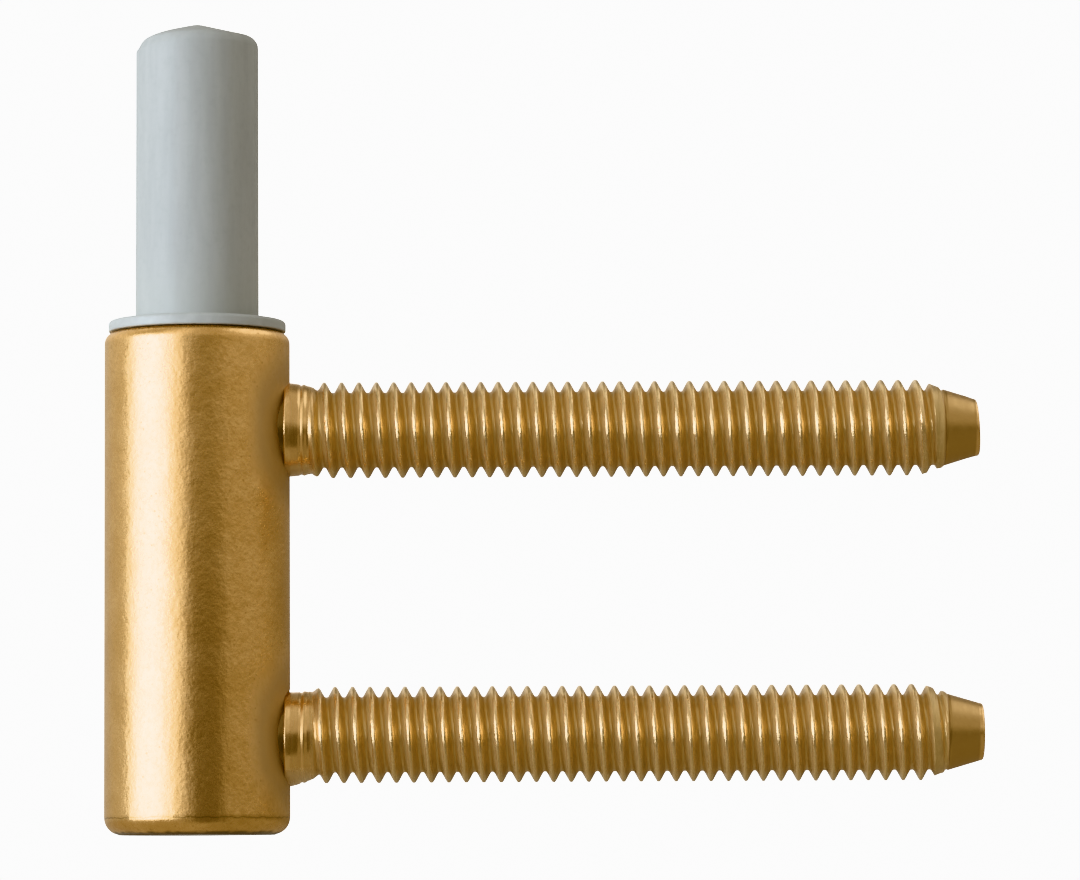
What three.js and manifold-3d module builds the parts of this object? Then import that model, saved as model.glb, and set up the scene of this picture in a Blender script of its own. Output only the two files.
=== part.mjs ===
// Frame half of a drill-in lift-off door hinge, in millimetres.
// The hinge axis is +Z and the origin is the centre of the barrel's flat foot.
// The two studs leave the barrel along +X, into the door frame.
import * as THREE from 'three';
import { mergeVertices } from 'three/addons/utils/BufferGeometryUtils.js';
import Module from 'manifold-3d';

const wasm = await Module();
wasm.setup();

// Barrel
const BARREL_R = 7.5;
const BARREL_H = 40.6;
const FOOT_ROUND = 1.3;
const RIM_ROUND = 0.9;
const BORE_R = 3.5;
const BORE_FLOOR_Z = 20.0;
const BORE_CHAMFER = 0.4;

// Core pin: a shank pressed in the barrel and a journal that carries the sleeve
const SHANK_R = 3.5;
const SHANK_FOOT_Z = 20.3;
const JOURNAL_R = 4.0;
const JOURNAL_TOP_Z = 62.9;
const JOURNAL_TIP_R = 3.2;

// Plastic washer and sleeve
const RUNNING_GAP = 0.05;
const WASHER_R = 7.18;
const WASHER_T = 0.95;
const WASHER_EDGE = 0.25;
const FOOT_RECESS_R = 5.05;
const FOOT_RECESS_DEPTH = 0.3;
const SLEEVE_R = 4.99;
const SLEEVE_SHOULDER_Z = 64.7;
const SLEEVE_APEX_Z = 65.9;
const SLEEVE_EDGE = 1.0;
const SLEEVE_TIP_R = 0.6;

// Studs
const STUD_Z = { lower_stud: 8.0, upper_stud: 32.65 };
const FIRST_CREST_X = { lower_stud: 9.7, upper_stud: 10.27 };
const PITCH = 1.409;
const CREST_R = 3.9;
const ROOT_R = 3.05;
const THREAD_X0 = 9.3;
const THREAD_X1 = 60.35;
const NECK_R = 3.8;
const SHOULDER_X = 7.1;
const SPIGOT_R = 3.2;
const SPIGOT_X = 4.1;
const TIP_R = 3.08;
const TIP_END_R = 2.33;
const END_X = 63.4;
const FIT_GAP = 0.01;

const ROUND_SEGMENTS = 48;
const STUD_SEGMENTS = 24;
const THREAD_COLUMNS = 12;

const brassPlate = { color: 0xd2a24c, roughness: 0.32, metalness: 0.9 };
const turnedSteel = { color: 0xa9adb0, roughness: 0.35, metalness: 0.95 };
const greyPlastic = { color: 0xb4bab6, roughness: 0.6, metalness: 0.0 };
const paleGreyPlastic = { color: 0xbcc3c1, roughness: 0.5, metalness: 0.0 };

function piece(name, geometry, look) {
  const material = new THREE.MeshStandardMaterial(look);
  material.name = name;
  const flat = geometry.index ? geometry.toNonIndexed() : geometry;
  flat.computeVertexNormals();
  const mesh = new THREE.Mesh(flat, material);
  mesh.name = name;
  return mesh;
}

function toSolid(geometry) {
  const bare = geometry.clone();
  bare.deleteAttribute('normal');
  bare.deleteAttribute('uv');
  const joined = mergeVertices(bare, 1e-5);
  const mesh = new wasm.Mesh({
    numProp: 3,
    vertProperties: new Float32Array(joined.attributes.position.array),
    triVerts: new Uint32Array(joined.index.array),
  });
  mesh.merge();
  return new wasm.Manifold(mesh);
}

function toGeometry(solid) {
  const mesh = solid.getMesh();
  const geometry = new THREE.BufferGeometry();
  geometry.setAttribute('position', new THREE.BufferAttribute(mesh.vertProperties, 3));
  geometry.setIndex(new THREE.BufferAttribute(mesh.triVerts, 1));
  return geometry;
}

// A closed profile of [radius, height] pairs turned about +Z
function turned(profile, segments = ROUND_SEGMENTS) {
  const points = profile.map(([r, z]) => new THREE.Vector2(r, z));
  const geometry = new THREE.LatheGeometry(points, segments);
  geometry.rotateX(Math.PI / 2);
  return geometry;
}

// The same profile turned about +X, as [radius, x] pairs, at height z
function turnedAlongX(profile, z, segments = ROUND_SEGMENTS) {
  const geometry = turned(profile, segments);
  geometry.rotateY(Math.PI / 2);
  geometry.translate(0, 0, z);
  return geometry;
}

// Points on a quarter round about (r, z), from one angle to another in degrees
function arc(r, z, radius, fromDeg, toDeg, steps) {
  const points = [];
  for (let i = 0; i <= steps; i += 1) {
    const a = THREE.MathUtils.degToRad(fromDeg + ((toDeg - fromDeg) * i) / steps);
    points.push([r + radius * Math.cos(a), z + radius * Math.sin(a)]);
  }
  return points;
}

// Clearance for one stud: the spigot hole, and a shallow flat seat for the back of its neck
function studHole(z) {
  const profile = [
    [0, SPIGOT_X - 0.1],
    [SPIGOT_R + FIT_GAP, SPIGOT_X - 0.1],
    [SPIGOT_R + FIT_GAP, SHOULDER_X - FIT_GAP],
    [NECK_R + FIT_GAP, SHOULDER_X - FIT_GAP],
    [NECK_R + FIT_GAP, BARREL_R + 1],
    [0, BARREL_R + 1],
  ];
  return toSolid(turnedAlongX(profile, z, STUD_SEGMENTS));
}

function makeBarrel() {
  const profile = [
    [0, 0],
    ...arc(BARREL_R - FOOT_ROUND, FOOT_ROUND, FOOT_ROUND, -90, 0, 3),
    ...arc(BARREL_R - RIM_ROUND, BARREL_H - RIM_ROUND, RIM_ROUND, 0, 90, 3),
    [BORE_R + BORE_CHAMFER, BARREL_H],
    [BORE_R, BARREL_H - BORE_CHAMFER],
    [BORE_R, BORE_FLOOR_Z],
    [0, BORE_FLOOR_Z],
  ];
  let solid = toSolid(turned(profile));
  for (const z of Object.values(STUD_Z)) {
    solid = solid.subtract(studHole(z));
  }
  return toGeometry(solid);
}

function makePin() {
  const shankR = SHANK_R - FIT_GAP;
  return turned([
    [0, SHANK_FOOT_Z],
    [shankR - 0.4, SHANK_FOOT_Z],
    [shankR, SHANK_FOOT_Z + 0.4],
    [shankR, BARREL_H],
    [JOURNAL_R - 0.15, BARREL_H],
    [JOURNAL_R, BARREL_H + 0.15],
    [JOURNAL_R, JOURNAL_TOP_Z - 0.8],
    [JOURNAL_TIP_R, JOURNAL_TOP_Z],
    [0, JOURNAL_TOP_Z],
  ]);
}

// The sleeve's foot stands in a shallow recess in the washer's top
function makeWasher() {
  const foot = BARREL_H + RUNNING_GAP;
  const top = BARREL_H + WASHER_T;
  const bore = JOURNAL_R + RUNNING_GAP;
  const outer = WASHER_R - WASHER_EDGE;
  const profile = [
    [bore + 0.15, foot],
    ...arc(outer, foot + WASHER_EDGE, WASHER_EDGE, -90, 0, 2),
    ...arc(outer, top - WASHER_EDGE, WASHER_EDGE, 0, 90, 2),
    [FOOT_RECESS_R, top],
    [FOOT_RECESS_R, top - FOOT_RECESS_DEPTH],
    [bore, top - FOOT_RECESS_DEPTH],
    [bore, foot + 0.15],
    [bore + 0.15, foot],
  ];
  return turned(profile);
}

function makeSleeve() {
  const foot = BARREL_H + WASHER_T - FOOT_RECESS_DEPTH + RUNNING_GAP;
  const bore = JOURNAL_R + RUNNING_GAP;
  const roundZ = SLEEVE_SHOULDER_Z - SLEEVE_EDGE;
  const profile = [
    [bore, foot],
    [SLEEVE_R - 0.15, foot],
    [SLEEVE_R, foot + 0.15],
    ...arc(SLEEVE_R - SLEEVE_EDGE, roundZ, SLEEVE_EDGE, 0, 70, 3),
    [SLEEVE_TIP_R, SLEEVE_APEX_Z - 0.08],
    [0, SLEEVE_APEX_Z],
    [0, JOURNAL_TOP_Z + 0.1],
    [JOURNAL_TIP_R + RUNNING_GAP, JOURNAL_TOP_Z + 0.1],
    [bore, JOURNAL_TOP_Z - 0.75],
    [bore, foot],
  ];
  return turned(profile);
}

// One turn of the rolled thread: [share of the pitch, radius], with a sharp crest and a wide root
const THREAD_FORM = [
  [0, CREST_R],
  [0.36, ROOT_R],
  [0.64, ROOT_R],
];

// The threaded length as one helical grid, its two spiral ends closed on the axis
function threadSolid(z, firstCrestX) {
  const rows = THREAD_FORM.length;
  const lead = Math.ceil((firstCrestX - THREAD_X0) / PITCH) + 1;
  const turns = Math.ceil((THREAD_X1 - THREAD_X0) / PITCH) + 3;
  const startX = firstCrestX - lead * PITCH;
  const last = turns * rows;
  const positions = [];
  for (let i = 0; i <= last + rows; i += 1) {
    const [share, radius] = THREAD_FORM[i % rows];
    for (let j = 0; j < THREAD_COLUMNS; j += 1) {
      const round = j / THREAD_COLUMNS;
      const angle = Math.PI * (2 * round + 0.5);
      const x = startX + PITCH * (Math.floor(i / rows) + share + round);
      positions.push(x, radius * Math.cos(angle), z + radius * Math.sin(angle));
    }
  }
  const at = (i, j) => (j < THREAD_COLUMNS
    ? i * THREAD_COLUMNS + j
    : (i + rows) * THREAD_COLUMNS + (j - THREAD_COLUMNS));
  const index = [];
  for (let i = 0; i < last; i += 1) {
    for (let j = 0; j < THREAD_COLUMNS; j += 1) {
      index.push(at(i, j), at(i, j + 1), at(i + 1, j + 1));
      index.push(at(i, j), at(i + 1, j + 1), at(i + 1, j));
    }
  }
  const startHub = positions.length / 3;
  positions.push(startX + PITCH / 2, 0, z);
  const endHub = startHub + 1;
  positions.push(startX + PITCH * (turns + 0.5), 0, z);
  const spiral = (row) => {
    const loop = [];
    for (let j = 0; j <= THREAD_COLUMNS; j += 1) loop.push(at(row, j));
    for (let m = rows - 1; m >= 1; m -= 1) loop.push(at(row + m, 0));
    return loop;
  };
  const startLoop = spiral(0);
  const endLoop = spiral(last);
  for (let k = 0; k < startLoop.length; k += 1) {
    const next = (k + 1) % startLoop.length;
    index.push(startHub, startLoop[next], startLoop[k]);
    index.push(endHub, endLoop[k], endLoop[next]);
  }
  const geometry = new THREE.BufferGeometry();
  geometry.setAttribute('position', new THREE.Float32BufferAttribute(positions, 3));
  geometry.setIndex(index);
  return toSolid(geometry);
}

// What rolling leaves of the thread: it runs in over one turn and stops at the lead-in cone
function threadEnvelope(z) {
  const wide = CREST_R + 0.3;
  return toSolid(turnedAlongX([
    [0, THREAD_X0 - 0.6],
    [ROOT_R + 0.1, THREAD_X0 - 0.6],
    [wide, THREAD_X0 + 1.9],
    [wide, THREAD_X1 - 0.9],
    [TIP_R - 0.05, THREAD_X1],
    [0, THREAD_X1],
  ], z, STUD_SEGMENTS));
}

// Spigot, neck, core and lead-in cone
function studCore(z) {
  return toSolid(turnedAlongX([
    [0, SPIGOT_X],
    [SPIGOT_R - 0.3, SPIGOT_X],
    [SPIGOT_R, SPIGOT_X + 0.3],
    [SPIGOT_R, SHOULDER_X],
    [NECK_R, SHOULDER_X],
    [NECK_R - 0.03, 8.6],
    [NECK_R - 0.2, 9.2],
    [ROOT_R - 0.14, THREAD_X0 + 0.35],
    [ROOT_R - 0.14, THREAD_X1 - 0.55],
    [TIP_R, THREAD_X1 - 0.2],
    [TIP_END_R, END_X - 0.5],
    [TIP_END_R - 0.2, END_X],
    [0, END_X],
  ], z, STUD_SEGMENTS));
}

function makeStud(name) {
  const z = STUD_Z[name];
  const thread = threadSolid(z, FIRST_CREST_X[name]).intersect(threadEnvelope(z));
  return toGeometry(thread.add(studCore(z)));
}

const group = new THREE.Group();
group.name = 'door_hinge_frame_half';
group.add(piece('barrel', makeBarrel(), brassPlate));
group.add(piece('upper_stud', makeStud('upper_stud'), brassPlate));
group.add(piece('lower_stud', makeStud('lower_stud'), brassPlate));
group.add(piece('hinge_pin', makePin(), turnedSteel));
group.add(piece('bearing_sleeve', makeSleeve(), greyPlastic));
group.add(piece('thrust_washer', makeWasher(), paleGreyPlastic));

export default group;
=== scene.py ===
"""Frame half of a drill-in lift-off door hinge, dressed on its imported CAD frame."""
import math

import bpy
import numpy as np
from mathutils import Matrix, Vector, noise


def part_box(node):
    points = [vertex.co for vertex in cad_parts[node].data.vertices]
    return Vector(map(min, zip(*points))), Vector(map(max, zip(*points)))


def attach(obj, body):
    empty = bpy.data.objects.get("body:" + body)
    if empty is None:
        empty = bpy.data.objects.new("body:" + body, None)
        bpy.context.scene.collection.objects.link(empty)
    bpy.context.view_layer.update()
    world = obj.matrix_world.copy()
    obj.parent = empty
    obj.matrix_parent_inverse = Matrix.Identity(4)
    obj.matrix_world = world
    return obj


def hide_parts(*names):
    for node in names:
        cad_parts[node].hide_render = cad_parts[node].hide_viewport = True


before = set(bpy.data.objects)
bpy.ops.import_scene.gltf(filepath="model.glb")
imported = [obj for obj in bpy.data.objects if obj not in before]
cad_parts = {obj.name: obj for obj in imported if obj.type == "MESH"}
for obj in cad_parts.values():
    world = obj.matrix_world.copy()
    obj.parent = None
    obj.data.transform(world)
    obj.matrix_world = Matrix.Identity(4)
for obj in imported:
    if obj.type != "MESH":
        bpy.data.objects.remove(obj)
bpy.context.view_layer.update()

MM = 0.001


def size_of(node):
    """A node's lowest and highest corners in millimetres."""
    low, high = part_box(node)
    return np.array(low) / MM, np.array(high) / MM


# ---------------------------------------------------------------- dimensions, mm

_, barrel_high = size_of("barrel")
BARREL_R = float(barrel_high[0])
BARREL_H = float(barrel_high[2])
FOOT_ROUND = 1.3
RIM_ROUND = 0.9
BORE_R = 3.5
BORE_FLOOR_Z = 20.0
CREASE_STEP = 0.015

washer_low, washer_high = size_of("thrust_washer")
WASHER_R = float(washer_high[0])
WASHER_Z0 = float(washer_low[2])
WASHER_Z1 = float(washer_high[2])
WASHER_EDGE = 0.3

sleeve_low, sleeve_high = size_of("bearing_sleeve")
SLEEVE_R = float(sleeve_high[0])
SLEEVE_Z0 = float(sleeve_low[2])
SLEEVE_APEX = float(sleeve_high[2])
SLEEVE_BORE_R = 4.05
RECESS_R = 5.05
RECESS_Z = SLEEVE_Z0 - 0.05
SHOULDER_DROP = 1.02
SLEEVE_EDGE = 1.0
TRIMMED_SIDE = math.radians(190.0)

pin_low, pin_high = size_of("hinge_pin")
PIN_R = float(pin_high[0])
PIN_Z0 = float(pin_low[2])
PIN_Z1 = float(pin_high[2])
SHANK_R = 3.49

PITCH = 1.409
CREST_R = 3.90
ROOT_R = 3.05
BLANK_R = 3.56
NECK_R = 3.80
SPIGOT_R = 3.2
SPIGOT_X = 4.1
SHOULDER_X = 7.1
DISH_R = 5.1
DISH_DEPTH = 0.16
THREAD_START = 9.05
THREAD_END = 60.45
# Where along a stud the dull rolled finish fades in, and where the tip cone's painted shade (a darker
# colour with higher roughness) fades out
ROLLED_FROM = (9.0, 9.8)
CONE_SHADE_TO = (62.9, 63.05)
TIP_R = 3.1
TIP_END_R = 2.33
TIP_EDGE = 0.28


def smooth(a, b, x):
    t = np.clip((np.asarray(x, float) - a) / (b - a), 0.0, 1.0)
    return t * t * (3.0 - 2.0 * t)


# ---------------------------------------------------------------- mesh helpers

def mesh_piece(name, verts_mm, faces, sharp_deg=38.0):
    mesh = bpy.data.meshes.new(name)
    verts = np.asarray(verts_mm, float) * MM
    used = np.unique(np.concatenate([np.asarray(face) for face in faces]))
    place = np.zeros(len(verts), int)
    place[used] = np.arange(len(used))
    mesh.from_pydata(verts[used].tolist(), [], [tuple(place[list(face)].tolist()) for face in faces])
    mesh.validate()
    mesh.update()
    mesh.polygons.foreach_set("use_smooth", [True] * len(mesh.polygons))
    mesh.set_sharp_from_angle(angle=math.radians(sharp_deg))
    piece = bpy.data.objects.new(name, mesh)
    bpy.context.scene.collection.objects.link(piece)
    return piece


def turned_shell(profile, cols, shape=None, axis="z"):
    """Rings of points for a profile of (radius, height), poles where the radius is 0.

    shape(r, h, angle) may move each ring's points, and returns radius and height.
    """
    angle = np.arange(cols) * (2.0 * math.pi / cols)
    verts, faces = [], []
    rings = []
    for r, h in profile:
        if r <= 1e-9:
            rings.append([len(verts)])
            verts.append((0.0, 0.0, h))
            continue
        rr = np.full(cols, float(r))
        hh = np.full(cols, float(h))
        if shape is not None:
            rr, hh = shape(rr, hh, angle)
        start = len(verts)
        verts.extend(zip(rr * np.cos(angle), rr * np.sin(angle), hh))
        rings.append(list(range(start, start + cols)))
    for lower, upper in zip(rings[:-1], rings[1:]):
        if len(lower) == 1 and len(upper) == 1:
            continue
        for j in range(cols):
            k = (j + 1) % cols
            if len(lower) == 1:
                faces.append((lower[0], upper[k], upper[j]))
            elif len(upper) == 1:
                faces.append((lower[j], lower[k], upper[0]))
            else:
                faces.append((lower[j], lower[k], upper[k], upper[j]))
    verts = np.array(verts)
    if axis == "x":
        verts = np.stack([verts[:, 2], verts[:, 0], verts[:, 1]], 1)
    return verts, faces


def arc(r, h, radius, from_deg, to_deg, steps):
    points = []
    for i in range(steps + 1):
        a = math.radians(from_deg + (to_deg - from_deg) * i / steps)
        points.append((r + radius * math.cos(a), h + radius * math.sin(a)))
    return points


def line(a, b, steps):
    """Points from a to b, without a itself."""
    return [(a[0] + (b[0] - a[0]) * i / steps, a[1] + (b[1] - a[1]) * i / steps)
            for i in range(1, steps + 1)]


# ---------------------------------------------------------------- node helpers

class Nodes:
    """Short calls for building one node tree."""

    def __init__(self, tree):
        self.tree = tree

    def add(self, kind, **values):
        node = self.tree.nodes.new(kind)
        for key, value in values.items():
            setattr(node, key, value)
        return node

    def link(self, a, b):
        self.tree.links.new(a, b)

    def put(self, socket, value):
        if isinstance(value, bpy.types.NodeSocket):
            self.link(value, socket)
        else:
            socket.default_value = value

    def math(self, operation, *values, clamp=False):
        node = self.add("ShaderNodeMath", operation=operation, use_clamp=clamp)
        for i, value in enumerate(values):
            self.put(node.inputs[i], value)
        return node.outputs[0]

    def scale(self, vector, factors):
        node = self.add("ShaderNodeVectorMath", operation="MULTIPLY")
        self.put(node.inputs[0], vector)
        node.inputs[1].default_value = factors
        return node.outputs[0]

    def axis(self, vector, index):
        node = self.add("ShaderNodeSeparateXYZ")
        self.link(vector, node.inputs[0])
        return node.outputs[index]

    def noise(self, vector, scale, detail=3.0, rough=0.55):
        node = self.add("ShaderNodeTexNoise")
        self.put(node.inputs["Vector"], vector)
        node.inputs["Scale"].default_value = scale
        node.inputs["Detail"].default_value = detail
        node.inputs["Roughness"].default_value = rough
        return node.outputs["Fac"]

    def cells(self, vector, scale):
        node = self.add("ShaderNodeTexVoronoi")
        self.put(node.inputs["Vector"], vector)
        node.inputs["Scale"].default_value = scale
        return node.outputs["Distance"]

    def span(self, value, low, high, to_low=0.0, to_high=1.0, kind="SMOOTHSTEP"):
        node = self.add("ShaderNodeMapRange", interpolation_type=kind)
        self.put(node.inputs["Value"], value)
        node.inputs["From Min"].default_value = low
        node.inputs["From Max"].default_value = high
        node.inputs["To Min"].default_value = to_low
        node.inputs["To Max"].default_value = to_high
        return node.outputs["Result"]

    def mix(self, factor, a, b):
        node = self.add("ShaderNodeMix", data_type="RGBA")
        self.put(node.inputs["Factor"], factor)
        self.put(node.inputs["A"], a)
        self.put(node.inputs["B"], b)
        return node.outputs["Result"]

    def bump(self, height, distance, strength=1.0, normal=None):
        node = self.add("ShaderNodeBump")
        self.put(node.inputs["Height"], height)
        node.inputs["Distance"].default_value = distance
        node.inputs["Strength"].default_value = strength
        if normal is not None:
            self.link(normal, node.inputs["Normal"])
        return node.outputs["Normal"]


def new_material(name):
    material = bpy.data.materials.new(name)
    material.use_nodes = True
    tree = material.node_tree
    tree.nodes.clear()
    n = Nodes(tree)
    shader = n.add("ShaderNodeBsdfPrincipled")
    out = n.add("ShaderNodeOutputMaterial")
    n.link(shader.outputs[0], out.inputs[0])
    place = n.scale(n.add("ShaderNodeTexCoord").outputs["Object"], (1000.0, 1000.0, 1000.0))
    return material, n, shader, place


# ---------------------------------------------------------------- materials

def near_stud(n, mm):
    """1 in the seat round either stud, fading to 0 at its rim."""
    y, z = n.axis(mm, 1), n.axis(mm, 2)
    near = []
    for node in STUDS:
        rise = n.math("SUBTRACT", z, stud_axis_z(node))
        rho = n.math("SQRT", n.math("ADD", n.math("MULTIPLY", y, y), n.math("MULTIPLY", rise, rise)))
        near.append(n.span(rho, DISH_R, DISH_R + 3.0, 1.0, 0.0))
    return n.math("MAXIMUM", *near)


def plated_barrel_material():
    """Tumbled, brass-plated steel: satin, with orange peel, small pits and darker specks; painted shade
    along the foot crease, at the bottom edge and round the stud roots.
    """
    material, n, shader, mm = new_material("plated_barrel")
    cloud = n.noise(mm, 0.30, 4.0)
    grain = n.noise(mm, 2.6, 5.0, 0.7)
    tint = n.mix(n.span(cloud, 0.35, 0.65), (0.82, 0.505, 0.205, 1), (0.92, 0.585, 0.255, 1))
    tint = n.mix(n.span(grain, 0.42, 0.70, 0.0, 0.6), tint, (0.69, 0.405, 0.15, 1))
    pits = n.span(n.cells(mm, 1.6), 0.10, 0.20, 1.0, 0.0)
    dust = n.span(n.cells(mm, 3.4), 0.14, 0.26, 1.0, 0.0)
    pits = n.math("MULTIPLY", pits, n.span(n.noise(mm, 0.9, 2.0), 0.48, 0.58))
    dust = n.math("MULTIPLY", dust, n.span(n.noise(mm, 1.6, 2.0), 0.46, 0.60, 0.0, 0.7))
    specks = n.math("MAXIMUM", pits, dust)
    tint = n.mix(n.math("MULTIPLY", specks, 0.55), tint, (0.44, 0.25, 0.085, 1))
    z = n.math("ADD", n.axis(mm, 2), n.span(n.noise(mm, 1.2, 3.0), 0.3, 0.7, -0.06, 0.06))
    # Painted shade: a darker line along the foot crease.
    crease = n.math("MULTIPLY", n.span(z, FOOT_ROUND - 0.02, FOOT_ROUND + 0.04),
                    n.span(z, FOOT_ROUND + 0.06, FOOT_ROUND + 0.16, 1.0, 0.0))
    tint = n.mix(n.math("MULTIPLY", crease, 0.7), tint, (0.30, 0.17, 0.05, 1))
    # Painted shade: the bottom edge of the foot is darkened nearly to black, standing in for the shadow
    # and the dark reflection beneath it.
    tint = n.mix(n.span(z, 0.10, 0.34, 0.85, 0.0), tint, (0.09, 0.05, 0.015, 1))
    # Painted shade: round each stud root the barrel is painted a darker brown and made mostly
    # non-metallic, standing in for the shade and dimmer reflections where stud and barrel meet.
    beside = n.math("MULTIPLY", n.span(n.axis(mm, 0), 4.0, 5.6), near_stud(n, mm))
    n.link(n.mix(beside, tint, (0.47, 0.29, 0.115, 1)), shader.inputs["Base Color"])
    n.link(n.math("MULTIPLY_ADD", beside, -0.8, 1.0), shader.inputs["Metallic"])
    rough = n.math("ADD", n.span(grain, 0.3, 0.7, 0.23, 0.31), n.math("MULTIPLY", specks, 0.15))
    n.link(n.math("MULTIPLY_ADD", beside, 0.2, rough), shader.inputs["Roughness"])
    wave = n.bump(n.noise(n.scale(mm, (1.0, 1.0, 0.6)), 0.8, 3.0), 0.042 * MM)
    n.link(n.bump(n.noise(mm, 2.4, 4.0, 0.65), 0.020 * MM, normal=wave), shader.inputs["Normal"])
    return material


def plated_stud_material(node):
    """Rolled and plated: a duller thread with fine striations and bright crests, and a smooth neck;
    painted light in the thread roots, and painted shade on the tip cone, beneath the neck and at the
    shoulder.
    """
    material, n, shader, mm = new_material(node + "_plating")
    x, y, z = (n.axis(mm, i) for i in range(3))
    rise = n.math("SUBTRACT", z, stud_axis_z(node))
    rho = n.math("SQRT", n.math("ADD", n.math("MULTIPLY", y, y), n.math("MULTIPLY", rise, rise)))
    rolled = n.math("MULTIPLY", n.span(x, *ROLLED_FROM),
                    n.span(x, THREAD_END - 0.1, THREAD_END + 0.1, 1.0, 0.0))
    streak = n.noise(n.scale(mm, (3.4, 0.20, 0.20)), 1.0, 4.0, 0.65)
    fine = n.noise(n.scale(mm, (9.0, 0.5, 0.5)), 1.0, 2.0, 0.6)
    cloud = n.noise(mm, 0.8, 3.0)
    plain = n.mix(n.span(cloud, 0.35, 0.65), (0.81, 0.52, 0.235, 1), (0.89, 0.585, 0.27, 1))
    flank = n.mix(n.span(cloud, 0.35, 0.65), (0.54, 0.36, 0.15, 1), (0.62, 0.415, 0.175, 1))
    flank = n.mix(n.span(streak, 0.50, 0.75, 0.0, 0.5), flank, (0.36, 0.225, 0.08, 1))
    crest = n.span(rho, 3.60, 3.86)
    # Painted light: the thread roots are lightened, making up for the shade that falls in them.
    flank = n.mix(n.span(rho, 3.1, 3.4, 0.7, 0.0), flank, (0.74, 0.50, 0.21, 1))
    thread = n.mix(n.math("MULTIPLY", crest, 0.8), flank, (0.84, 0.60, 0.31, 1))
    tint = n.mix(rolled, plain, thread)
    # Painted shade: the tip cone is darkened, standing in for the dimmer light it reflects.
    cone = n.math("MULTIPLY", n.span(x, THREAD_END - 0.2, THREAD_END, 0.0, 0.85),
                  n.span(x, *CONE_SHADE_TO, 1.0, 0.0))
    tint = n.mix(cone, tint, (0.52, 0.33, 0.135, 1))
    # Painted shade: the neck's lower side near the barrel is darkened and made less metallic, where shade
    # falls beneath it.
    painted_underside_shade = n.math("MULTIPLY", n.span(rise, -3.4, -2.5, 0.6, 0.0), n.span(x, 9.0, 9.6, 1.0, 0.0))
    tint = n.mix(painted_underside_shade, tint, (0.40, 0.26, 0.11, 1))
    # Painted shade: a near-black line at the shoulder, where the collar meets the barrel's seat.
    tint = n.mix(n.span(x, SHOULDER_X - 0.06, SHOULDER_X + 0.01, 0.9, 0.0), tint, (0.16, 0.09, 0.03, 1))
    n.link(tint, shader.inputs["Base Color"])
    dull = n.math("MULTIPLY", rolled, n.math("MULTIPLY_ADD", crest, -0.8, 1.0))
    metal = n.math("MULTIPLY_ADD", dull, -0.42, 1.0)
    n.link(n.math("MULTIPLY_ADD", painted_underside_shade, -1.2, metal, clamp=True), shader.inputs["Metallic"])
    rough = n.span(streak, 0.3, 0.7, 0.18, 0.30)
    rough = n.math("MULTIPLY_ADD", dull, 0.10, rough)
    n.link(n.math("MULTIPLY_ADD", cone, 0.14, rough), shader.inputs["Roughness"])
    ribs = n.bump(n.math("MULTIPLY", streak, rolled), 0.110 * MM)
    hair = n.bump(n.math("MULTIPLY", fine, rolled), 0.030 * MM, normal=ribs)
    n.link(n.bump(n.noise(mm, 1.8, 3.0), 0.014 * MM, normal=hair), shader.inputs["Normal"])
    return material


def sleeve_material():
    """Matte moulded plastic with faint upright flow marks, and painted bounce light towards its foot."""
    material, n, shader, mm = new_material("sleeve_plastic")
    flow = n.noise(n.scale(mm, (0.9, 0.9, 0.12)), 1.0, 4.0, 0.6)
    mottle = n.noise(mm, 1.6, 4.0, 0.6)
    tint = n.mix(n.span(flow, 0.3, 0.7), (0.364, 0.362, 0.332, 1), (0.394, 0.392, 0.360, 1))
    tint = n.mix(n.span(mottle, 0.45, 0.8, 0.0, 0.3), tint, (0.315, 0.318, 0.285, 1))
    # Painted light: the sleeve's foot is lighter and warmer, standing in for light thrown up from the
    # washer.
    footward_bounce_light = n.span(n.axis(mm, 2), SLEEVE_Z0, SLEEVE_Z0 + 7.0, 0.5, 0.0)
    tint = n.mix(footward_bounce_light, tint, (0.42, 0.42, 0.37, 1))
    n.link(tint, shader.inputs["Base Color"])
    n.link(n.span(mottle, 0.3, 0.7, 0.55, 0.65), shader.inputs["Roughness"])
    shader.inputs["Specular IOR Level"].default_value = 0.3
    soft = n.bump(flow, 0.010 * MM)
    n.link(n.bump(n.noise(mm, 5.0, 3.0), 0.004 * MM, normal=soft), shader.inputs["Normal"])
    return material


def washer_material():
    """Satin plastic, a little lighter and bluer than the sleeve."""
    material, n, shader, mm = new_material("washer_plastic")
    mottle = n.noise(mm, 1.1, 4.0, 0.6)
    tint = n.mix(n.span(mottle, 0.35, 0.7), (0.392, 0.392, 0.358, 1), (0.432, 0.432, 0.396, 1))
    n.link(tint, shader.inputs["Base Color"])
    n.link(n.span(mottle, 0.3, 0.7, 0.42, 0.52), shader.inputs["Roughness"])
    shader.inputs["Specular IOR Level"].default_value = 0.35
    n.link(n.bump(n.noise(mm, 3.0, 3.0), 0.006 * MM), shader.inputs["Normal"])
    return material


def pin_material():
    """Ground steel, with fine grinding lines round the pin."""
    material, n, shader, mm = new_material("ground_steel")
    lines = n.noise(n.scale(mm, (0.2, 0.2, 22.0)), 1.0, 2.0, 0.6)
    tint = n.mix(n.span(lines, 0.3, 0.7), (0.50, 0.51, 0.52, 1), (0.58, 0.59, 0.60, 1))
    n.link(tint, shader.inputs["Base Color"])
    shader.inputs["Metallic"].default_value = 1.0
    n.link(n.span(lines, 0.3, 0.7, 0.24, 0.36), shader.inputs["Roughness"])
    n.link(n.bump(lines, 0.003 * MM), shader.inputs["Normal"])
    return material


# ---------------------------------------------------------------- pieces

# Where each stud's first full crest stands, and how far its neck sits off the thread's axis, in mm
STUDS = {"upper_stud": 10.27, "lower_stud": 9.70}
NECK_DRIFT = {"upper_stud": 0.05, "lower_stud": -0.33}
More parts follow.
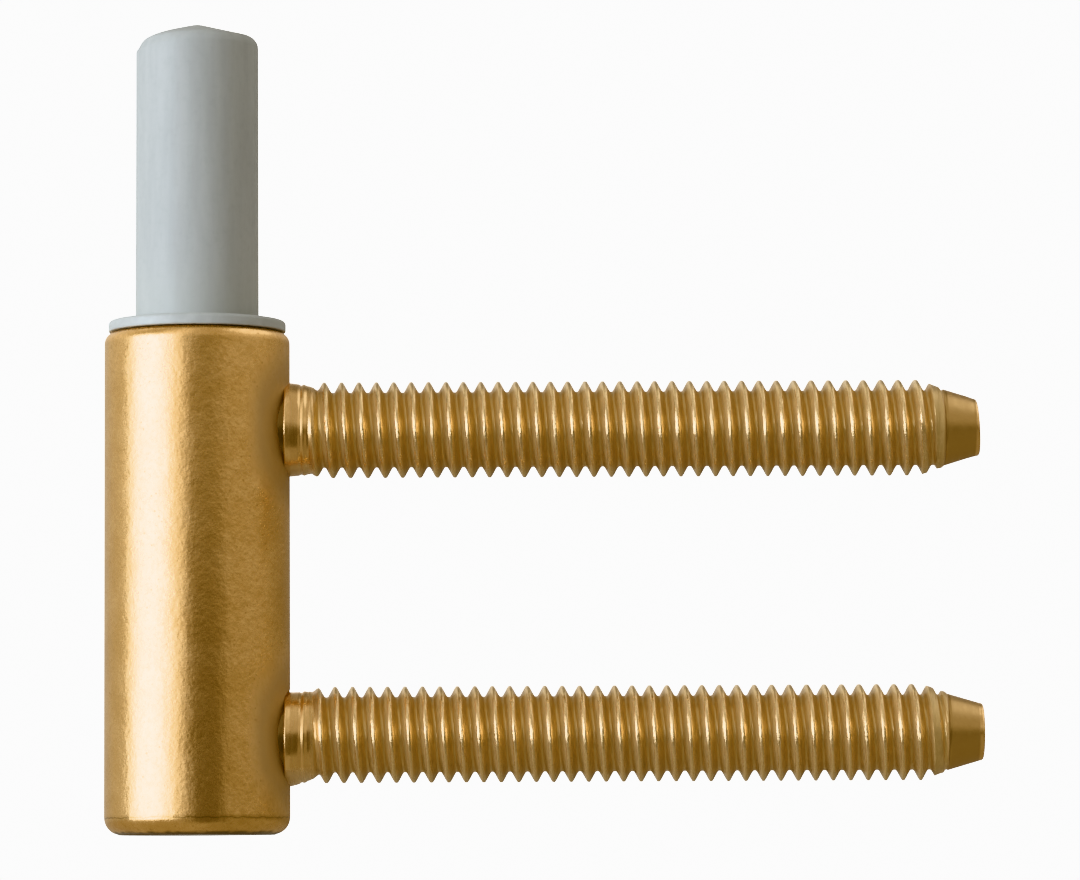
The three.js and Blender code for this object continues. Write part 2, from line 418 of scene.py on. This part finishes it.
# How far each stud's end face leans, as a share of the distance from its axis
TIP_LEAN = {"upper_stud": 0.050, "lower_stud": 0.0}


def stud_axis_z(node):
    low, high = size_of(node)
    return float(low[2] + high[2]) / 2


def make_barrel():
    """The turned body: a crease over the rounded foot, and a dish with a flat seat at each stud."""
    cols = 288
    top = BARREL_H - RIM_ROUND
    foot_r, tilt = FOOT_ROUND + 0.1, 5.0
    centre_z = FOOT_ROUND + foot_r * math.sin(math.radians(tilt))
    centre_r = BARREL_R - CREASE_STEP - foot_r * math.cos(math.radians(tilt))
    foot = [(r, h) for r, h in arc(centre_r, centre_z, foot_r, -90, -tilt, 16) if h > 0.03]
    profile = [(0.0, 0.0), (3.0, 0.0), (5.2, 0.0), (foot[0][0] - 0.04, 0.0)] + foot
    profile += [(BARREL_R - CREASE_STEP, FOOT_ROUND + 0.1), (BARREL_R, FOOT_ROUND + 0.2)]
    profile += line((BARREL_R, FOOT_ROUND + 0.2), (BARREL_R, top), 240)
    profile += arc(BARREL_R - RIM_ROUND, top, RIM_ROUND, 0, 90, 10)[1:]
    profile += [(5.4, BARREL_H), (BORE_R + 0.4, BARREL_H), (BORE_R, BARREL_H - 0.4)]
    profile += [(BORE_R, BARREL_H - 6.0), (BORE_R, BORE_FLOOR_Z), (0.0, BORE_FLOOR_Z)]
    roots = [stud_axis_z(node) for node in STUDS]

    def shape(r, h, angle):
        wall = (r > BARREL_R - 0.02) & (h > FOOT_ROUND + 0.15)
        crease = (h > FOOT_ROUND - 0.2) & (h < FOOT_ROUND + 0.25) & (r > BARREL_R - 0.05)
        wobble = 0.035 * ripple(angle, h, 9.0, 2.0) + 0.03 * ripple(angle, h, 30.0, 5.0)
        h = h + np.where(crease, wobble, 0.0)
        front = (np.cos(angle) > 0.2) & wall
        y = r * np.sin(angle)
        for z in roots:
            rho = np.hypot(y, h - z)
            beside = np.clip(np.abs(y) / np.maximum(rho, 1e-6), 0.0, 1.0) ** 2
            dish = beside * DISH_DEPTH * (1.0 - smooth(NECK_R, DISH_R, rho))
            r = r - np.where(front, dish, 0.0)
            seat = front & (rho < NECK_R - 0.15)
            r = np.where(seat, np.minimum(r, (SHOULDER_X - 0.02) / np.maximum(np.cos(angle), 0.2)), r)
        return r, h

    verts, faces = turned_shell(profile, cols, shape)
    return mesh_piece("barrel_body", verts, faces, 20.0)


def thread_height(share):
    """Height of the rolled thread over its root, 0 to 1, by the share of a pitch from the crest."""
    away = np.abs((share + 0.5) % 1.0 - 0.5)
    return 1.0 - 0.6 * smooth(0.02, 0.48, away) - 0.4 * np.clip((away - 0.08) / 0.34, 0.0, 1.0)


def threaded_shell(first_crest, z_axis):
    """The thread as one helical sheet, its two ends closed on the axis inside the neck and the tip."""
    per_turn, cols = 24, 96
    start = first_crest - 2 * PITCH
    turns = math.ceil((THREAD_END - start) / PITCH) + 1
    last = (turns - 1) * per_turn
    i = np.arange(last + per_turn + 1)[:, None]
    j = np.arange(cols)[None, :]
    x = start + PITCH * (i / per_turn + j / cols)
    angle = 2.0 * math.pi * j / cols + math.pi / 2
    form = ROOT_R + (CREST_R - ROOT_R) * thread_height((i / per_turn) % 1.0)
    rise = smooth(THREAD_START - 0.2, THREAD_START + 1.2, x)
    r = BLANK_R + (form - BLANK_R) * rise
    run_out = np.interp(x, [58.3, 59.1, 59.9, 60.3, 60.5, 60.8, 61.2],
                        [CREST_R + 0.02, 3.68, 3.36, 3.28, 3.10, 2.5, 1.6])
    run_in = np.interp(x, [8.6, THREAD_START - 0.1, THREAD_START + 0.1], [1.6, 3.4, CREST_R + 0.1])
    r = np.minimum(np.minimum(r, run_out), run_in)
    verts = np.stack([x + 0 * r, r * np.cos(angle), z_axis + r * np.sin(angle)], -1).reshape(-1, 3)

    def at(row, col):
        return row * cols + col if col < cols else (row + per_turn) * cols + col - cols

    faces = [(at(a, b), at(a, b + 1), at(a + 1, b + 1), at(a + 1, b))
             for a in range(last) for b in range(cols)]
    hubs = np.array([(start + PITCH / 2, 0.0, z_axis), (start + PITCH * (turns - 0.5), 0.0, z_axis)])
    for end, row in enumerate((0, last)):
        loop = [at(row, b) for b in range(cols + 1)]
        loop += [at(row + m, 0) for m in range(per_turn - 1, 0, -1)]
        hub = len(verts) + end
        for k, point in enumerate(loop):
            after = loop[(k + 1) % len(loop)]
            faces.append((hub, after, point) if end == 0 else (hub, point, after))
    return np.vstack([verts, hubs]), faces


def make_stud(node):
    z = stud_axis_z(node)
    end_x = float(size_of(node)[1][0])
    lean = TIP_LEAN[node]
    neck = [(0.0, SPIGOT_X), (SPIGOT_R - 0.3, SPIGOT_X), (SPIGOT_R, SPIGOT_X + 0.3)]
    neck += [(SPIGOT_R, SHOULDER_X), (NECK_R - 0.10, SHOULDER_X)]
    neck += arc(NECK_R - 0.10, SHOULDER_X + 0.10, 0.10, -60, 0, 4)
    neck += line((NECK_R, SHOULDER_X + 0.12), (NECK_R, 7.6), 6)
    neck += line((NECK_R, 7.6), (NECK_R - 0.08, 8.25), 6)
    neck += [(NECK_R - 0.13, 8.34), (NECK_R - 0.17, 8.42), (NECK_R - 0.17, 8.46), (NECK_R - 0.09, 8.62)]
    neck += [(NECK_R - 0.10, 8.70), (3.66, 8.80), (3.61, 8.92), (3.585, 8.98), (3.60, 9.06)]
    neck += [(3.54, 9.2), (3.48, 9.4), (3.2, 9.8), (2.7, 10.1), (0.0, 10.1)]
    face_x = end_x - TIP_END_R * lean - 0.01
    tip = [(0.0, 59.4), (2.8, 59.6), (TIP_R - 0.06, THREAD_END - 0.05), (TIP_R, THREAD_END + 0.06)]
    tip += line((TIP_R, THREAD_END + 0.06), (TIP_END_R, face_x - 0.26), 12)
    tip += arc(TIP_END_R - 0.27, face_x - TIP_EDGE, TIP_EDGE, 18, 90, 8)
    tip += [(1.2, face_x), (0.0, face_x)]

    def leaning(r, h, angle):
        weight = smooth(face_x - 0.9, face_x - 0.1, h)
        return r, h - lean * weight * r * np.sin(angle)

    verts, faces = [], []
    root = turned_shell(neck, 144, axis="x")
    near_barrel = 1.0 - smooth(7.3, 9.9, root[0][:, 0])
    root[0][:, 2] += NECK_DRIFT[node] * near_barrel
    shells = (root, turned_shell(tip, 144, leaning, axis="x"), threaded_shell(STUDS[node], 0.0))
    for shell_verts, shell_faces in shells:
        faces += [tuple(v + len(verts) for v in face) for face in shell_faces]
        verts += [tuple(v) for v in shell_verts]
    verts = np.array(verts)
    verts[:, 2] += z
    return mesh_piece(node + "_body", verts, faces, 50.0)


def ripple(angle, h, scale, seed):
    """Smooth, repeatable unevenness round a turned piece."""
    places = [(math.cos(a) * scale, math.sin(a) * scale, hh * scale * 0.4 + seed)
              for a, hh in zip(angle, h)]
    return np.array([noise.noise(Vector(place)) for place in places])


def make_sleeve():
    shoulder = SLEEVE_APEX - SHOULDER_DROP
    edge = SLEEVE_EDGE
    profile = [(SLEEVE_BORE_R, SLEEVE_Z0), (SLEEVE_R - 0.1, SLEEVE_Z0), (SLEEVE_R, SLEEVE_Z0 + 0.1)]
    profile += line((SLEEVE_R, SLEEVE_Z0 + 0.1), (SLEEVE_R - 0.02, shoulder - edge), 60)
    profile += arc(SLEEVE_R - 0.02 - edge, shoulder - edge, edge, 0, 72, 12)[1:]
    start = profile[-1]
    profile += line(start, (0.9, SLEEVE_APEX - 0.17), 24)
    profile += [(0.6, SLEEVE_APEX - 0.10), (0.3, SLEEVE_APEX - 0.045), (0.0, SLEEVE_APEX - 0.02)]
    profile += [(0.0, PIN_Z1 + 0.15), (3.2, PIN_Z1 + 0.1), (SLEEVE_BORE_R, PIN_Z1 - 0.7)]
    profile += [(SLEEVE_BORE_R, SLEEVE_Z0)]

    def shape(r, h, angle):
        tipward = smooth(shoulder - 1.6, shoulder + 0.2, h) * smooth(0.2, 2.0, r)
        outside = r > SLEEVE_BORE_R + 0.2
        uneven = ripple(angle, h, 1.7, 4.0)
        low = np.where(outside | (h > shoulder), uneven * tipward, 0.0)
        trimmed = np.clip(np.cos(angle - TRIMMED_SIDE), 0.0, 1.0) ** 2 * (r / SLEEVE_R) ** 6
        trimmed = trimmed * smooth(shoulder - 1.4, shoulder - 0.4, h)
        r = r - 0.10 * np.maximum(low, 0.0) - 0.12 * trimmed
        return r, h - 0.16 * np.maximum(low + 0.15, 0.0) - 0.55 * trimmed

    verts, faces = turned_shell(profile, 160, shape)
    return mesh_piece("sleeve_body", verts, faces, 50.0)


def make_washer():
    outer = WASHER_R - WASHER_EDGE
    profile = [(SLEEVE_BORE_R + 0.1, WASHER_Z0)]
    profile += arc(WASHER_R - 0.12, WASHER_Z0 + 0.12, 0.12, -90, 0, 5)
    profile += arc(outer, WASHER_Z1 - WASHER_EDGE, WASHER_EDGE, 0, 90, 8)
    profile += [(RECESS_R + 0.06, WASHER_Z1), (RECESS_R, WASHER_Z1 - 0.06), (RECESS_R, RECESS_Z)]
    profile += [(SLEEVE_BORE_R, RECESS_Z), (SLEEVE_BORE_R, WASHER_Z0 + 0.1)]
    profile += [(SLEEVE_BORE_R + 0.1, WASHER_Z0)]
    verts, faces = turned_shell(profile, 192)
    return mesh_piece("washer_body", verts, faces)


def make_pin():
    profile = [(0.0, PIN_Z0), (SHANK_R - 0.4, PIN_Z0), (SHANK_R, PIN_Z0 + 0.4), (SHANK_R, BARREL_H)]
    profile += [(PIN_R - 0.15, BARREL_H), (PIN_R, BARREL_H + 0.15), (PIN_R, PIN_Z1 - 0.8)]
    profile += [(3.2, PIN_Z1), (0.0, PIN_Z1)]
    verts, faces = turned_shell(profile, 128)
    return mesh_piece("pin_body", verts, faces)


def dress(piece, node, body, material):
    piece.data.materials.append(material)
    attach(piece, body)
    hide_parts(node)


dress(make_barrel(), "barrel", "frame_half", plated_barrel_material())
for stud in STUDS:
    dress(make_stud(stud), stud, "frame_half", plated_stud_material(stud))
dress(make_pin(), "hinge_pin", "frame_half", pin_material())
dress(make_sleeve(), "bearing_sleeve", "sleeve", sleeve_material())
dress(make_washer(), "thrust_washer", "washer", washer_material())


# ---------------------------------------------------------------- studio

FLOOR_Z = -121.0
FLOOR_HALF = 3000.0
# The card's place in front of the object, and its extent to the sides and up and down, mm
CARD_Y = -120.0
CARD_X = (-12.0, 84.0)
CARD_Z = (-100.0, 33.0)

CAMERA_AT = (23.81, -426.54, -4.09)
CAMERA_PITCH, CAMERA_YAW, CAMERA_ROLL = 4.808, 0.53, -0.31
CAMERA_LENS = 176.1
SENSOR_WIDTH = 36.0


def plain_sheet(name, corners_mm):
    """One flat four-cornered sheet."""
    mesh = bpy.data.meshes.new(name)
    mesh.from_pydata([tuple(c * MM for c in corner) for corner in corners_mm], [], [(0, 1, 2, 3)])
    sheet = bpy.data.objects.new(name, mesh)
    bpy.context.scene.collection.objects.link(sheet)
    return sheet


def make_floor():
    """A pale sheet well below the object, out of its reflections."""
    half, z = FLOOR_HALF, FLOOR_Z
    floor = plain_sheet("floor", [(-half, -half, z), (half, -half, z), (half, half, z), (-half, half, z)])
    material, n, shader, mm = new_material("pale_floor")
    shade = n.mix(n.noise(mm, 0.01, 2.0), (0.80, 0.80, 0.79, 1), (0.83, 0.83, 0.82, 1))
    n.link(shade, shader.inputs["Base Color"])
    shader.inputs["Roughness"].default_value = 0.8
    floor.data.materials.append(material)
    floor.visible_glossy = False


# The light tent. Each panel's azimuths fade in and out between two pairs of angles, and so do its
# elevations, all in degrees (azimuth 0 is the front of the object, positive to its right).
PANELS = [
    ((-90, -62), (-53, -25), (-12, -8), (8, 24), 14.5, (1.0, 1.16, 1.42)),
    ((-50, -32), (-14, -8), (-12, -6), (70, 90), 0.58, (1.0, 1.06, 1.14)),
    ((-181, -180), (-104, -88), (-12, -8), (60, 80), 0.32, (1.0, 1.08, 1.12)),
    ((16, 46), (90, 120), (-8, 0), (20, 34), 0.19, (1.0, 0.99, 0.95)),
    ((52, 74), (120, 150), (24, 36), (60, 72), 0.8, (0.94, 1.03, 1.16)),
    ((90, 120), (180, 181), (-14, -6), (60, 80), 0.06, (1.0, 0.98, 0.92)),
    ((-181, -180), (180, 181), (-3, 17), (91, 92), 0.36, (1.0, 1.0, 0.99)),
    ((-181, -180), (-10, 40), (-96, -95), (-14, -8), 0.26, (1.0, 0.97, 0.90)),
    ((-10, 40), (180, 181), (-96, -95), (-14, -8), 0.17, (1.0, 0.97, 0.90)),
]
AMBIENT = (0.170, 0.141, 0.080)
PAPER_LEVEL = 2.6
# Shadows in the tent, in the same form: the last number is how much light they let through.
SHADES = [
    ((-181, -180), (-160, -140), (22, 40), (66, 80), 0.45),
    ((140, 160), (180, 181), (22, 40), (66, 80), 0.45),
]


def gate(n, azimuth, elevation, az_in, az_out, el_in, el_out):
    """1 inside the given angles and 0 outside them."""
    value = n.math("MULTIPLY", n.span(azimuth, *az_in), n.span(azimuth, *az_out, 1.0, 0.0))
    value = n.math("MULTIPLY", value, n.span(elevation, *el_in))
    return n.math("MULTIPLY", value, n.span(elevation, *el_out, 1.0, 0.0))


def make_world():
    world = bpy.data.worlds.new("studio")
    bpy.context.scene.world = world
    world.use_nodes = True
    tree = world.node_tree
    tree.nodes.clear()
    n = Nodes(tree)
    direction = n.add("ShaderNodeSeparateXYZ")
    n.link(n.add("ShaderNodeTexCoord").outputs["Generated"], direction.inputs[0])
    x, y, z = direction.outputs
    azimuth = n.math("DEGREES", n.math("ARCTAN2", x, n.math("MULTIPLY", y, -1.0)))
    elevation = n.math("DEGREES", n.math("ARCSINE", z))
    light = None
    for az_in, az_out, el_in, el_out, level, colour in PANELS:
        panel = n.add("ShaderNodeVectorMath", operation="SCALE")
        panel.inputs[0].default_value = [level * c for c in colour]
        n.link(gate(n, azimuth, elevation, az_in, az_out, el_in, el_out), panel.inputs["Scale"])
        total = n.add("ShaderNodeVectorMath", operation="ADD")
        n.link(panel.outputs[0], total.inputs[0])
        n.put(total.inputs[1], AMBIENT if light is None else light)
        light = total.outputs[0]
    for az_in, az_out, el_in, el_out, through in SHADES:
        inside = gate(n, azimuth, elevation, az_in, az_out, el_in, el_out)
        shaded = n.add("ShaderNodeVectorMath", operation="SCALE")
        n.link(light, shaded.inputs[0])
        n.link(n.math("MULTIPLY_ADD", inside, through - 1.0, 1.0), shaded.inputs["Scale"])
        light = shaded.outputs[0]
    tent = n.add("ShaderNodeBackground")
    n.link(light, tent.inputs["Color"])
    paper = n.add("ShaderNodeBackground")
    paper.inputs["Color"].default_value = (1, 1, 1, 1)
    paper.inputs["Strength"].default_value = PAPER_LEVEL
    seen = n.add("ShaderNodeMixShader")
    n.link(n.add("ShaderNodeLightPath").outputs["Is Camera Ray"], seen.inputs[0])
    n.link(tent.outputs[0], seen.inputs[1])
    n.link(paper.outputs[0], seen.inputs[2])
    out = n.add("ShaderNodeOutputWorld")
    n.link(seen.outputs[0], out.inputs[0])


def make_dark_card():
    """A dark card in front of the studs, which only reflections and shadows see."""
    y, (x0, x1), (z0, z1) = CARD_Y, CARD_X, CARD_Z
    card = plain_sheet("dark_card", [(x0, y, z0), (x1, y, z0), (x1, y, z1), (x0, y, z1)])
    material, n, shader, mm = new_material("dim_glowing_card")
    # Painted reflection: the card glows a dim warm brown, standing in for the dark surroundings that the
    # metal reflects.
    shade = n.mix(n.noise(mm, 0.05, 2.0), (0.12, 0.095, 0.055, 1), (0.14, 0.11, 0.065, 1))
    n.link(shade, shader.inputs["Emission Color"])
    shader.inputs["Emission Strength"].default_value = 1.0
    shader.inputs["Base Color"].default_value = (0.0, 0.0, 0.0, 1.0)
    shader.inputs["Roughness"].default_value = 1.0
    card.data.materials.append(material)
    card.visible_camera = False


def make_camera():
    """Below the barrel's foot, looking up a little, as long as a portrait lens."""
    pitch, yaw, roll = (math.radians(a) for a in (CAMERA_PITCH, CAMERA_YAW, CAMERA_ROLL))
    forward = Vector((math.sin(yaw) * math.cos(pitch), math.cos(yaw) * math.cos(pitch), math.sin(pitch)))
    right = Vector((math.cos(yaw), -math.sin(yaw), 0.0))
    up = right.cross(forward)
    x_axis = math.cos(roll) * right + math.sin(roll) * up
    y_axis = math.cos(roll) * up - math.sin(roll) * right
    turn = Matrix((x_axis, y_axis, -forward)).transposed()
    data = bpy.data.cameras.new("camera")
    data.sensor_width = SENSOR_WIDTH
    data.sensor_fit = "HORIZONTAL"
    data.lens = CAMERA_LENS
    data.clip_start = 0.01
    camera = bpy.data.objects.new("camera", data)
    camera.matrix_world = Matrix.Translation(Vector(CAMERA_AT) * MM) @ turn.to_4x4()
    bpy.context.scene.collection.objects.link(camera)
    bpy.context.scene.camera = camera


make_floor()
make_dark_card()
make_world()
make_camera()
bpy.context.scene.view_settings.view_transform = "Khronos PBR Neutral"
